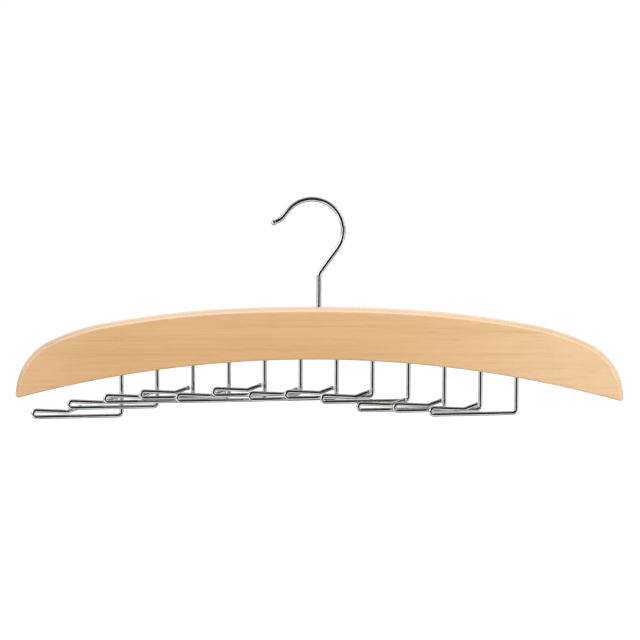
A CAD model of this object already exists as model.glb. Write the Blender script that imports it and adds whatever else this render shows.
from math import cos, pi, radians, sin, sqrt, tan

import bmesh
import bpy
import numpy as np
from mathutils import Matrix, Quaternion, Vector


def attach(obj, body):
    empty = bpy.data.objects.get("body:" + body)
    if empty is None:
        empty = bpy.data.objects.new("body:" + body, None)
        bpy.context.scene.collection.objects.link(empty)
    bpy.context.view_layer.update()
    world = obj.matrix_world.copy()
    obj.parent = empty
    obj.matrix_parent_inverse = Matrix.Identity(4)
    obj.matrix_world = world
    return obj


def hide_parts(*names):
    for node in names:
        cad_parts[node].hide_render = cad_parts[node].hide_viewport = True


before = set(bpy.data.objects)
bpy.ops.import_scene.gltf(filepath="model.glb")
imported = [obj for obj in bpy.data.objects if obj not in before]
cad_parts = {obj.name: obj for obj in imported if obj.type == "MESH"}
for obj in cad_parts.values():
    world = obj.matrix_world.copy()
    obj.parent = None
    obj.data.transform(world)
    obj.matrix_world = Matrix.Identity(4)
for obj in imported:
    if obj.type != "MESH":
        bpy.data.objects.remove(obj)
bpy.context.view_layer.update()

# The board: one flat arch of pale, close-grained hardwood, band-sawn to its outline. Its top edge
# is moulded to a camber with softened arrises, the edges below are eased by sanding. It is bored
# through for the hook and from below for the arm bushes, and has a clear satin lacquer.
mm = 0.001  # the object's sizes are in millimetres and degrees
board_length, board_height, board_thickness = 440.0, 38.0, 12.0
flank_radius, shoulder_radius, tip_radius = 714.0, 174.0, 45.0
crown_slope, flank_slope, shoulder_slope = 3.06, 10.4, 24.4
underside_radius = 832.0
edge_camber, arris_radius, underside_rim_radius = 3.6, 1.5, 1.6
shank_x, crown_z = 5.0, -75.7
post_margin = 77.0
arm_numbers = range(1, 13)
bush_radius, bush_length, bush_recess, post_head_room = 3.0, 12.0, 0.8, 2.0
bush_hole_depth = bush_recess + bush_length + post_head_room
pocket_radius, pocket_depth, shank_bore_radius, drill_overshoot = 4.75, 9.0, 1.83, 5.0
arc_points, round_points, arris_points, camber_points = (24, 28, 14, 18), 7, 8, 15
face_rows = (0, 0.02, 0.25, 0.5, 0.75, 0.98, 1)
merge_distance, sharp_angle = 1e-7, 30.0
brown_wood, light_wood = (0.675, 0.373, 0.154, 1), (0.870, 0.556, 0.284, 1)
pale_wood, yellow_wood = (0.96, 0.73, 0.50, 1), (0.76, 0.52, 0.19, 1)
streak_wood = (0.52, 0.280, 0.12, 1)
edge_wood, end_grain = (0.84, 0.68, 0.53, 1), (0.60, 0.42, 0.27, 1)
fibre_depth, streak_depth = 2e-5, 1e-5  # in metres, as the finishes take them


def turned(degrees):
    """Unit vector (cos a, sin a) in the plane of the board, turned from +X towards +Z."""
    return np.array([np.cos(np.radians(degrees)), np.sin(np.radians(degrees))])


def arc(centre, radius, start, end, count):
    """Rows (x, z) along the arc C + R (cos a, sin a)."""
    return centre + radius * turned(np.linspace(start, end, count)).T


def slice_half(top_inset, under_inset):
    """Right halves of the top edge and the underside in one slice of the board, each from the
    middle to the tip and moved in from the outline by its inset.

    The top is a chain of tangent arcs, whose centres step back along the common radius where one
    passes into the next. A small round joins the tip to the hollow arc of the underside."""
    slopes = np.array([0, crown_slope, flank_slope, shoulder_slope, 90])
    reach = np.diff(np.sin(np.radians(slopes)))
    outer = reach[1:] @ [flank_radius, shoulder_radius, tip_radius]
    crown_radius = (board_length / 2 - outer) / reach[0]
    radii = np.array([crown_radius, flank_radius, shoulder_radius, tip_radius])
    steps = turned(90 - slopes[1:-1]) * -np.diff(radii)
    centres = np.cumsum(np.c_[[0, crown_z - crown_radius], steps], axis=1).T
    hollow = np.array([0, crown_z - board_height - underside_radius])

    round_radius = underside_rim_radius
    near = tip_radius - top_inset - round_radius
    far = underside_radius + under_inset + round_radius
    line = centres[-1] - hollow
    span = np.linalg.norm(line)
    along = (span ** 2 + far ** 2 - near ** 2) / (2 * span)
    aside = sqrt(far ** 2 - along ** 2)
    corner = hollow + (line * along + np.array([line[1], -line[0]]) * aside) / span
    tip_angle = np.degrees(np.arctan2(*(corner - centres[-1])[::-1]))
    under_angle = np.degrees(np.arctan2(*(corner - hollow)[::-1]))
    middle_angle = (tip_angle + under_angle - 180) / 2

    ends = [*(90 - slopes[1:-1]), tip_angle]
    top = [arc(centre, radius - top_inset, start, end, count)[:-1]
           for centre, radius, start, end, count
           in zip(centres, radii, 90 - slopes, ends, arc_points)]
    top.append(arc(corner, round_radius, tip_angle, middle_angle, round_points))
    under_points = sum(map(len, top)) - round_points + 1
    under = [arc(hollow, underside_radius + under_inset, 90, under_angle, under_points)[:-1],
             arc(corner, round_radius, under_angle - 180, middle_angle, round_points)]
    return np.vstack(top), np.vstack(under)


def whole(half):
    """Rows from the left tip to the right one, from a right half that starts in the middle."""
    return np.vstack([half[:0:-1] * [-1, 1], half])


def edge_profile():
    """Depth and inset of the top edge, and inset of the underside, from a face to the middle.

    While the surface turns by a from facing forwards to facing up, the arris of radius s runs over
    (h - s + s cos a, c - s sin a) and the camber of radius R over (R cos a, R - R sin a). They
    meet where the line between their centres cuts them. The underside has a quarter round."""
    h = board_thickness / 2
    camber = (edge_camber ** 2 + h ** 2) / (2 * edge_camber)
    rise = sqrt((camber - arris_radius) ** 2 - (h - arris_radius) ** 2)
    meet = np.arctan2(rise, h - arris_radius)
    a = np.linspace(0, meet, arris_points)
    b = np.linspace(meet, pi / 2, camber_points)[1:]
    depth = np.r_[h - arris_radius + arris_radius * np.cos(a), camber * np.cos(b)]
    inset = np.r_[camber - rise - arris_radius * np.sin(a), camber - camber * np.sin(b)]
    past = np.maximum(depth - h + underside_rim_radius, 0)
    return depth, inset, underside_rim_radius - np.sqrt(underside_rim_radius ** 2 - past ** 2)


def solid_rows(rows, y):
    """Rows (x, z) at depth y as points, with the middle of the board at the hook's shank."""
    return np.stack([rows[..., 0] + shank_x, y + 0 * rows[..., 0], rows[..., 1]], -1)


def grid_faces(rows, columns, start=0, closed=False):
    """Corner numbers of the quads of a grid of points, in rows; a closed grid joins its last
    column to its first."""
    row, column = np.meshgrid(
        np.arange(rows - 1), np.arange(columns - (not closed)), indexing="ij")
    beside = (column + 1) % columns
    quads = np.stack([row * columns + column, row * columns + beside,
                      (row + 1) * columns + beside, (row + 1) * columns + column], -1)
    return start + quads.reshape(-1, 4)


def piece_of(name, points, faces, uv=None):
    """Object from points in millimetres, with double points merged at seams and poles, its faces
    turned outwards, smooth but for edges sharper than a third of a right angle."""
    mesh = bpy.data.meshes.new(name)
    mesh.from_pydata((points * mm).tolist(), [], faces.tolist())
    if uv is not None:
        layer = mesh.uv_layers.new(name="along")
        layer.data.foreach_set("uv", uv[faces].astype(np.float32).ravel() * mm)
    work = bmesh.new()
    work.from_mesh(mesh)
    bmesh.ops.remove_doubles(work, verts=work.verts, dist=merge_distance)
    bmesh.ops.recalc_face_normals(work, faces=work.faces)
    work.to_mesh(mesh)
    work.free()
    mesh.shade_smooth()
    mesh.set_sharp_from_angle(angle=radians(sharp_angle))
    piece = bpy.data.objects.new(name, mesh)
    bpy.context.scene.collection.objects.link(piece)
    return piece


def board_surface():
    """Edges: the outlines of the slices of the board, one behind the other from the front face to
    the back one. Faces: straight blends (1 - v) under + v top of the first slice's halves."""
    depth, *insets = edge_profile()
    halves = [slice_half(*pair) for pair in zip(*insets)]
    tops, unders = (np.array([whole(half) for half in side]) for side in zip(*halves))
    rings = np.concatenate([tops, unders[:, -2:0:-1]], axis=1)
    rings = np.concatenate([rings, rings[-2::-1]])
    points = [solid_rows(rings, np.r_[-depth, depth[-2::-1]][:, None]).reshape(-1, 3)]
    faces = [grid_faces(*rings.shape[:2], closed=True)]

    v = np.array(face_rows)[:, None, None]
    blend = (1 - v) * unders[0] + v * tops[0]
    for y in (-board_thickness / 2, board_thickness / 2):
        faces.append(grid_faces(*blend.shape[:2], start=sum(map(len, points))))
        points.append(solid_rows(blend, y).reshape(-1, 3))
    return piece_of("board", np.vstack(points), np.vstack(faces))


def underside_z(x):
    """Height of the hollow underside at a distance x from the middle of the board."""
    return crown_z - board_height - underside_radius + sqrt(underside_radius ** 2 - x ** 2)


def post_x(number):
    """Distance of a post from the middle of the board; the posts are spread evenly about it."""
    pitch = (board_length - 2 * post_margin) / (len(arm_numbers) - 1)
    return (number - (1 + len(arm_numbers)) / 2) * pitch


def drill(x, steps, sides=48):
    """Turned cutter on a vertical axis: rings (x + r cos a, r sin a, z) for its steps (z, r)."""
    z, r = np.array([(steps[0][0], 0), *steps, (steps[-1][0], 0)]).T[:, :, None]
    a = np.linspace(0, 2 * pi, sides, endpoint=False)
    rings = np.stack([shank_x + x + r * np.cos(a), r * np.sin(a), z + 0 * a], -1)
    return rings.reshape(-1, 3), grid_faces(len(z), sides, closed=True)


def bored(board):
    """The board less its holes: the stepped bore of the hook and twelve blind holes."""
    ceiling = underside_z(0) + pocket_depth
    cutters = [drill(0, [
        (underside_z(0) - drill_overshoot, pocket_radius), (ceiling, pocket_radius),
        (ceiling, shank_bore_radius), (crown_z + drill_overshoot, shank_bore_radius)])]
    for x in map(post_x, arm_numbers):
        foot, top = underside_z(x) - drill_overshoot, underside_z(x) + bush_hole_depth
        cutters.append(drill(x, [(foot, bush_radius), (top, bush_radius)]))
    starts = np.cumsum([0] + [len(points) for points, _ in cutters])
    tool = piece_of("drills", np.vstack([points for points, _ in cutters]),
                    np.vstack([faces + start for (_, faces), start in zip(cutters, starts)]))
    cut = board.modifiers.new("bores", "BOOLEAN")
    cut.operation, cut.solver, cut.object = "DIFFERENCE", "EXACT", tool
    shown = board.evaluated_get(bpy.context.evaluated_depsgraph_get())
    board.data = bpy.data.meshes.new_from_object(shown)
    board.modifiers.clear()
    bpy.data.objects.remove(tool)
    return board


class Shade:
    """A socket of a finish. Sums, differences and products of sockets and numbers add Math
    nodes."""

    def __init__(self, tree, socket=None):
        self.tree, self.socket = tree, socket

    def node(self, kind, settings=(), sockets=(), out=0):
        """Any node: its settings first, then the values or links of its sockets."""
        made = self.tree.nodes.new("ShaderNode" + kind)
        for name, value in dict(settings).items():
            setattr(made, name, value)
        for name, value in dict(sockets).items():
            if isinstance(value, Shade):
                self.tree.links.new(value.socket, made.inputs[name])
            else:
                made.inputs[name].default_value = value
        return Shade(self.tree, made.outputs[out] if made.outputs else None)

    def maths(self, operation, *values):
        return self.node("Math", {"operation": operation}, enumerate(values))

    def __add__(self, other):
        return self.maths("ADD", self, other)

    def __sub__(self, other):
        return self.maths("SUBTRACT", self, other)

    def __rsub__(self, other):
        return self.maths("SUBTRACT", other, self)

    def __mul__(self, other):
        return self.maths("MULTIPLY", self, other)

    __radd__, __rmul__ = __add__, __mul__

    def between(self, low, high):
        """0 below the low value, 1 above the high one, and a smooth rise between them."""
        return self.node("MapRange", {"interpolation_type": "SMOOTHSTEP"},
                         {"Value": self, "From Min": low, "From Max": high})

    def blend(self, first, second):
        """The first colour where this value is 0, the second where it is 1."""
        return self.node("Mix", {"data_type": "RGBA"}, {0: self, 6: first, 7: second}, out=2)

    def noise(self, stretch, detail=2.0):
        """Noise over these coordinates, with so many lumps a metre along each axis."""
        spread = self.node("Mapping", (), {"Vector": self, "Scale": stretch})
        return self.node("TexNoise", (), {"Vector": spread, "Scale": 1.0, "Detail": detail})

    def bump(self, height, strength):
        """Normal tilted by a height, which is in metres."""
        return self.node("Bump", (), {"Height": height, "Strength": strength, "Distance": 1.0})


def new_finish(name, coordinates="Object", **constants):
    """Material, its shader with the constants set on its own sockets, and its coordinates."""
    material = bpy.data.materials.new(name)
    material.use_nodes = True
    shader = material.node_tree.nodes["Principled BSDF"]
    for socket, value in constants.items():
        shader.inputs[socket.replace("_", " ")].default_value = value
    start = Shade(material.node_tree).node("TexCoord", out=coordinates)
    return material, shader, start


def feed(shader, **sockets):
    """Links what changes over a surface to the shader."""
    for socket, value in sockets.items():
        value.tree.links.new(value.socket, shader.inputs[socket.replace("_", " ")])


def lacquered_wood():
    """Straight grain along X: broad bands, growth lines, thin darker streaks, short flecks, fine
    fibres and faint yellow clouds. The plank grows paler towards its right-hand end, at its tips
    and where it is moulded to face up, but for the brown end grain of the moulding at the tips."""
    material, shader, place = new_finish(
        "lacquered_wood", Coat_Weight=1.0, Coat_Roughness=0.22, Coat_IOR=1.6,
        Specular_IOR_Level=0.4)
    bands = place.noise((7, 70, 90), detail=3.0)
    lines = place.noise((5, 160, 420), detail=4.0)
    streaks = place.noise((9, 200, 620), detail=3.0).between(0.56, 0.72)
    flecks = place.noise((60, 400, 900)).between(0.58, 0.72)
    clouds = place.noise((40, 60, 130)).between(0.3, 0.7)
    fibres = place.noise((60, 1500, 2200), detail=3.0)
    along = place.node("SeparateXYZ", (), {"Vector": place})
    pale = along.between(-0.06, 0.24)
    tips = along.between(0.12, 0.20) + along.between(-0.13, -0.20)
    facing = place.node("NewGeometry", out="Normal")
    moulded = facing.node("SeparateXYZ", (), {"Vector": facing}, out="Z").between(0.15, 0.75)
    tone = 0.42 + 0.26 * pale + (bands - 0.5) * 0.7 + (lines - 0.5) * 0.6 + (fibres - 0.5) * 0.5
    colour = tone.blend(brown_wood, light_wood)
    colour = (pale * 0.26 + tips * 0.14).blend(colour, pale_wood)
    colour = (clouds * 0.12).blend(colour, yellow_wood)
    colour = (streaks * 0.22 + flecks * 0.20).blend(colour, streak_wood)
    colour = (moulded * (0.5 - 0.35 * pale - 0.4 * tips)).blend(colour, edge_wood)
    colour = (moulded * tips * (0.65 - 0.2 * pale)).blend(colour, end_grain)
    height = (fibres * 0.6 + lines * 0.4) * fibre_depth - streaks * streak_depth
    feed(shader, Base_Color=colour, Roughness=0.40 + 0.12 * fibres - 0.06 * bands,
         Normal=place.bump(height, 0.5))
    return material


board = bored(board_surface())
board.data.materials.append(lacquered_wood())
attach(board, "bar")
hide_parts("hanger_board")

# The arm bushes: plain nylon sleeves, turned from rod and pressed into the blind holes a little
# below the surface of the wood, where the posts of the arms turn in them.
nylon_shade, nylon_light = (0.66, 0.63, 0.54, 1), (0.76, 0.74, 0.66, 1)
tool_ring_depth = 1e-5


def natural_nylon():
    """Milky, slightly waxy plastic with the faint rings of the turning tool along Z."""
    material, shader, place = new_finish("natural_nylon", Subsurface_Weight=0.08)
    clouds = place.noise((300, 300, 300))
    rings = place.noise((40, 40, 6000), detail=1.0)
    feed(shader, Base_Color=clouds.blend(nylon_shade, nylon_light),
         Roughness=0.42 + 0.15 * rings, Normal=place.bump(rings * tool_ring_depth, 0.4))
    return material


nylon = natural_nylon()
for number in arm_numbers:
    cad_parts[f"arm_bush_{number:02d}"].data.materials[0] = nylon

# The hook washer: a plain pressed washer of zinc-plated steel on the ceiling of the pocket, which
# passes the weight of the hanger on to the riveted end of the hook.
zinc_grey, zinc_bright = (0.48, 0.48, 0.47, 1), (0.60, 0.61, 0.62, 1)
brush_mark_depth = 4e-6


def zinc_plate():
    """Dull grey plating, brushed in one direction by tumbling, with small bright spangles."""
    material, shader, place = new_finish("zinc_plate", Metallic=1.0)
    brushed = place.noise((300, 4000, 900))
    spangles = place.noise((900, 900, 900)).between(0.55, 0.7)
    feed(shader, Base_Color=spangles.blend(zinc_grey, zinc_bright),
         Roughness=0.28 + 0.2 * brushed, Normal=place.bump(brushed * brush_mark_depth, 0.5))
    return material


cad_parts["hook_washer"].data.materials[0] = zinc_plate()

# The hook: one length of steel wire, bent cold round formers, upset to a ball at its tip, chrome
# plated, then put through the board and the washer and riveted over in the pocket.
hook_wire_radius, bow_inside_radius = 1.75, 20.7
bow_radius = bow_inside_radius + hook_wire_radius
bow_offset, bow_past_top, hook_lean = 5.0, 52.0, 36.0
shank_bend_radius, hook_tip_run, hook_tip_bend_radius, hook_tip_flare = 8.0, 5.5, 9.0, 28.0
hook_tip_flare_run, hook_ball_radius = 3.2, 2.15
washer_thickness, hook_head_radius, hook_head_height = 1.0, 3.2, 2.0
bend_step, ball_points = 4, 15
chrome_dull, chrome_clear = (0.68, 0.69, 0.70, 1), (0.76, 0.77, 0.78, 1)
drawn_line_depth = 1e-6


def wire_line(x, z, heading, legs):
    """Rows (x, z, heading) along a wire bent in one plane, each leg a run and then a bend.

    A bend of radius R that turns left has its centre C on the left of the wire, and runs over
    C + R (sin a, -cos a) while its heading a turns; one to the right is its mirror image."""
    rows = [np.array([[x, z, heading]])]
    for run, radius, turn in legs:
        x, z, heading = rows[-1][-1]
        ahead = np.array([x, z]) + run * turned(heading)
        a = heading + np.linspace(0, turn, 1 + int(abs(turn) / bend_step))
        side = np.copysign(radius, turn)
        swing = side * np.stack([np.sin(np.radians(a)), -np.cos(np.radians(a))], 1)
        rows.append(np.column_stack([ahead - swing[0] + swing, a]))
    return np.vstack(rows)


def wire_surface(line, radius, head, ball, sides=32):
    """A circle carried along the line: point + r (cos b N + sin b Y), N being square to the
    heading. A flat head (radius, height), its edges broken by a fifth of its height, starts it,
    and a ball ends it, where r = sqrt(R^2 - s^2) at s before or after the ball's centre."""
    head_radius, head_height = head
    soft = head_height / 5
    before = np.array([[-head_height, 0], [-head_height, head_radius - soft],
                       [soft - head_height, head_radius], [-soft, head_radius],
                       [0, head_radius - soft], [0, radius]])
    s = -ball * np.cos(np.linspace(np.arcsin(radius / ball), pi, ball_points))
    after = np.column_stack([s, np.sqrt(np.maximum(ball ** 2 - s ** 2, 0))])
    shift = np.r_[before[:, 0], 0 * line[1:-1, 0], after[:, 0]]
    r = np.r_[before[:, 1], radius + 0 * line[1:-1, 0], after[:, 1]][:, None]
    line = line[np.r_[np.zeros(len(before), int), 1:len(line) - 1, np.full(len(after), -1)]]
    along = turned(line[:, 2]).T
    centre = line[:, :2] + shift[:, None] * along
    b = np.linspace(0, 2 * pi, sides + 1)
    x = centre[:, :1] - r * np.cos(b) * along[:, 1:]
    z = centre[:, 1:] + r * np.cos(b) * along[:, :1]
    points = np.stack([x, r * np.sin(b), z], -1)
    length = np.r_[0, np.cumsum(np.linalg.norm(np.diff(centre, axis=0), axis=1))]
    uv = np.stack([length[:, None] + 0 * b, radius * b + 0 * length[:, None]], -1)
    return points.reshape(-1, 3), grid_faces(len(r), sides + 1), uv.reshape(-1, 2)


def bright_chrome():
    """Mirror plating over drawn wire: faint lines along the wire, and a slightly uneven shine."""
    material, shader, along = new_finish("bright_chrome", "UV", Metallic=1.0)
    drawn = along.noise((25, 2500, 1))
    mist = along.noise((120, 300, 1), detail=3.0)
    feed(shader, Base_Color=mist.blend(chrome_dull, chrome_clear),
         Roughness=0.025 + 0.02 * drawn + 0.03 * mist,
         Normal=along.bump(drawn * drawn_line_depth, 0.3))
    return material


def hook_line():
    """Up the shank from the riveted end, along the lean, round the bow and out at the tip."""
    lean = radians(hook_lean)
    bow_centre_z = hook_wire_radius - bow_radius
    lean_run = (bow_radius * cos(lean) - bow_offset) / sin(lean)
    bend_z = bow_centre_z - bow_radius * sin(lean) - lean_run * cos(lean)
    bend_reach = shank_bend_radius * tan(lean / 2)
    head_top = underside_z(0) + pocket_depth - washer_thickness
    return wire_line(shank_x, head_top, 90, [
        (bend_z - bend_reach - head_top, shank_bend_radius, -hook_lean),
        (lean_run - bend_reach, bow_radius, 90 + hook_lean + bow_past_top),
        (hook_tip_run, hook_tip_bend_radius, -hook_tip_flare),
        (hook_tip_flare_run, 0, 0)])


chrome = bright_chrome()
hook = piece_of("wire_hook", *wire_surface(
    hook_line(), hook_wire_radius, (hook_head_radius, hook_head_height), hook_ball_radius))
hook.data.materials.append(chrome)
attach(hook, "hook")
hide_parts("hook")

# The tie arms: each one length of chromed wire with a flat upset head that turns on top of its
# bush, a post, a square bend and a hairpin that closes in on itself and opens again at the ball
# tip. They are bent by hand, so no two hang at quite one height.
arm_wire_radius = 1.5
arm_length, arm_drop, post_bend_radius = 65.1, 27.2, 3.0
loop_radius, loop_to_kink, kink_bend_radius = 2.4, 26.0, 4.0
arm_flare_run, arm_ball_radius = 9.8, 1.8
arm_head_radius, arm_head_height = 2.2, 1.5
arm_pinch, arm_flare, arm_swing = 3.3, 19.0, 12.0
drop_spread = 3.0
drop_shares = (0.75, -0.15, -0.5, -0.75, 0.5, -0.65, 0.3, -0.35, 0.0, 1.1, 0.1, -0.4)


def arm_line(x, drop):
    """Down the post from the top of the bush, out along the arm, back through the hairpin."""
    bush_top = underside_z(x) + bush_recess + bush_length
    loop_reach = arm_wire_radius + loop_radius
    kink_reach = kink_bend_radius * tan(radians(arm_pinch + arm_flare) / 2)
    return wire_line(0, bush_top, -90, [
        (bush_top - underside_z(x) + drop - post_bend_radius, post_bend_radius, 90),
        (arm_length - loop_reach - post_bend_radius, loop_radius, 180 + arm_pinch),
        (loop_to_kink - loop_reach - kink_reach, kink_bend_radius, -arm_pinch - arm_flare),
        (arm_flare_run - kink_reach, 0, 0)])


for number, share in zip(arm_numbers, drop_shares):
    x = post_x(number)
    points, faces, uv = wire_surface(
        arm_line(x, arm_drop + drop_spread * share), arm_wire_radius,
        (arm_head_radius, arm_head_height), arm_ball_radius)
    out, front = turned(180 + arm_swing)
    turn = np.array([[out, front, 0], [-front, out, 0], [0, 0, 1]])
    arm = piece_of(f"wire_arm_{number:02d}", points @ turn + [shank_x + x, 0, 0], faces, uv)
    arm.data.materials.append(chrome)
    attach(arm, f"arm_{number:02d}")
    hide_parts(f"tie_arm_{number:02d}")

# The studio: a white floor well below the hanging object, a white room and soft lamps all round,
# the one above for the board alone. Dark and grey cards in front, behind, above, below and at the
# sides, which only mirror surfaces see, draw the lines of bright wire on white.
floor_z, floor_size, card_lift = -0.60, 12.0, 0.005  # the studio is laid out in metres
paper_white, shadowed_white, even_glow = (0.80, 0.80, 0.80, 1), (0.45, 0.45, 0.45, 1), 0.82
pure_white, room_strength, shown_strength = (1, 1, 1, 1), 0.605, 1.0
to_front, to_back, to_left, to_right = (0, -1, 0), (0, 1, 0), (-1, 0, 0), (1, 0, 0)
upwards, downwards = (0, 0, 1), (0, 0, -1)
black, charcoal, dark_grey, mid_grey, light_grey = 0.02, 0.06, 0.20, 0.30, 0.45
lamp_target = Vector((0, 0, -0.1))


def panel(name, centre, facing, width, height):
    """Flat rectangle C + u U + v V, square to the direction that it faces."""
    side = np.cross(facing, (0, 0, 1) if abs(facing[2]) < 0.9 else (0, 1, 0))
    side = side / np.linalg.norm(side)
    up = np.cross(side, facing) / np.linalg.norm(facing)
    u, v = np.meshgrid([-width / 2, width / 2], [-height / 2, height / 2])
    points = np.array(centre) + u[..., None] * side + v[..., None] * up
    return piece_of(name, points.reshape(-1, 3) / mm, grid_faces(2, 2))


def seen_white(tree):
    """1 for rays from the camera, also by way of mirrors and clear things, which see the studio as
    plain white."""
    path = Shade(tree).node("LightPath").socket.node
    camera, glossy, through = (
        Shade(tree, path.outputs[f"Is {ray} Ray"]) for ray in ("Camera", "Glossy", "Transmission"))
    return camera.maths("MAXIMUM", camera.maths("MAXIMUM", camera, glossy), through)


def bare_material(name):
    """Material without any nodes, and its tree."""
    material = bpy.data.materials.new(name)
    material.use_nodes = True
    material.node_tree.nodes.clear()
    return material, material.node_tree


def floor_white():
    """White paper: for lookers mostly an even white that still keeps the shadow."""
    material, tree = bare_material("floor_white")
    look = seen_white(tree)
    paper = look.node("BsdfDiffuse", (), {"Color": paper_white})
    shadowed = look.node("BsdfDiffuse", (), {"Color": shadowed_white})
    white = look.node("Emission", (), {"Color": pure_white, "Strength": even_glow})
    even = look.node("AddShader", (), {0: shadowed, 1: white})
    shown = look.node("MixShader", (), {0: look, 1: paper, 2: even})
    look.node("OutputMaterial", (), {"Surface": shown})
    return material


floor = panel("floor", (0, 0, floor_z), upwards, floor_size, floor_size)
floor.data.materials.append(floor_white())


def card_grey(grey):
    """Card that shows mirrors an even grey, whatever light falls on it."""
    material, tree = bare_material("card_grey")
    glow = Shade(tree).node("Emission", (), {"Color": (grey, grey, grey, 1), "Strength": 1.0})
    glow.node("OutputMaterial", (), {"Surface": glow})
    return material


for name, centre, facing, width, height, grey in (
        ("high_card", (0.10, -1.15, 1.225), to_back, 2.5, 2.25, black),
        ("eye_card", (0, -1.15, -0.035), to_back, 1.9, 0.27, black),
        ("low_card", (0.10, -1.15, -0.38), to_back, 2.5, 0.42, black),
        ("near_card", (0.65, -0.83, floor_z + card_lift), upwards, 1.7, 0.64, black),
        ("back_card", (0, 1.15, -0.25), to_front, 2.0, 0.56, black),
        ("floor_card", (0, 0.30, floor_z + card_lift), upwards, 1.6, 0.80, charcoal),
        ("overhead_card", (0, -0.02, 1.05), downwards, 2.4, 0.90, mid_grey),
        ("left_card", (-1.30, -0.10, -0.02), to_right, 2.0, 0.30, light_grey),
        ("right_card", (1.30, -0.10, -0.02), to_left, 2.0, 0.30, light_grey),
        ("left_low_card", (-1.30, 0.45, -0.30), to_right, 0.8, 0.26, dark_grey),
        ("right_low_card", (1.30, 0.45, -0.30), to_left, 0.8, 0.26, dark_grey)):
    card = panel(name, centre, facing, width, height)
    card.data.materials.append(card_grey(grey))
    card.visible_camera = card.visible_diffuse = card.visible_shadow = False
    card.visible_transmission = card.visible_volume_scatter = False

world = bpy.data.worlds.new("white_room")
bpy.context.scene.world = world
world.use_nodes = True
world.node_tree.nodes.clear()
look = seen_white(world.node_tree)
room = look.node("Background", (), {"Color": pure_white, "Strength": room_strength})
white = look.node("Background", (), {"Color": pure_white, "Strength": shown_strength})
shown = look.node("MixShader", (), {0: look, 1: room, 2: white})
look.node("OutputWorld", (), {"Surface": shown})

board_alone = bpy.data.collections.new("board_alone")
board_alone.objects.link(board)
for name, place, power, width, height, mirrored, lit in (
        ("right_softbox", (0.85, -0.75, 0.35), 6.0, 0.8, 0.9, False, None),
        ("top_softbox", (-0.05, -0.40, 0.90), 4.0, 1.6, 0.40, True, board_alone),
        ("left_fill", (-1.25, -1.05, 0.30), 5.6, 0.8, 1.0, True, None),
        ("back_fill", (0.30, 1.20, 0.40), 7.0, 1.0, 0.9, False, None)):
    lamp = bpy.data.lights.new(name, "AREA")
    lamp.shape, lamp.energy, lamp.size, lamp.size_y = "RECTANGLE", power, width, height
    light = bpy.data.objects.new(name, lamp)
    light.location = place
    light.visible_glossy = mirrored
    light.light_linking.receiver_collection = lit
    aim = lamp_target - light.location
    light.rotation_euler = aim.to_track_quat("-Z", "Y").to_euler()
    bpy.context.scene.collection.objects.link(light)

# The camera: square to the board but for a few degrees, a little above it and to its right, with a
# long lens, so that the near and far edges of the board show at one scale.
camera_target = Vector((5.9, 0, -85.4)) * mm
azimuth, elevation, roll, distance = radians(1.19), radians(4.41), radians(0.172), 1.4
back = Vector((sin(azimuth) * cos(elevation), -cos(azimuth) * cos(elevation), sin(elevation)))
lens = bpy.data.cameras.new("camera")
lens.lens, lens.sensor_width, lens.clip_start = 109.07, 36.0, 0.05
camera = bpy.data.objects.new("camera", lens)
camera.location = camera_target + back * distance
camera.rotation_mode = "QUATERNION"
camera.rotation_quaternion = (-back).to_track_quat("-Z", "Y") @ Quaternion((0, 0, 1), roll)
bpy.context.scene.collection.objects.link(camera)
bpy.context.scene.camera = camera
bpy.context.scene.view_settings.view_transform = "Standard"
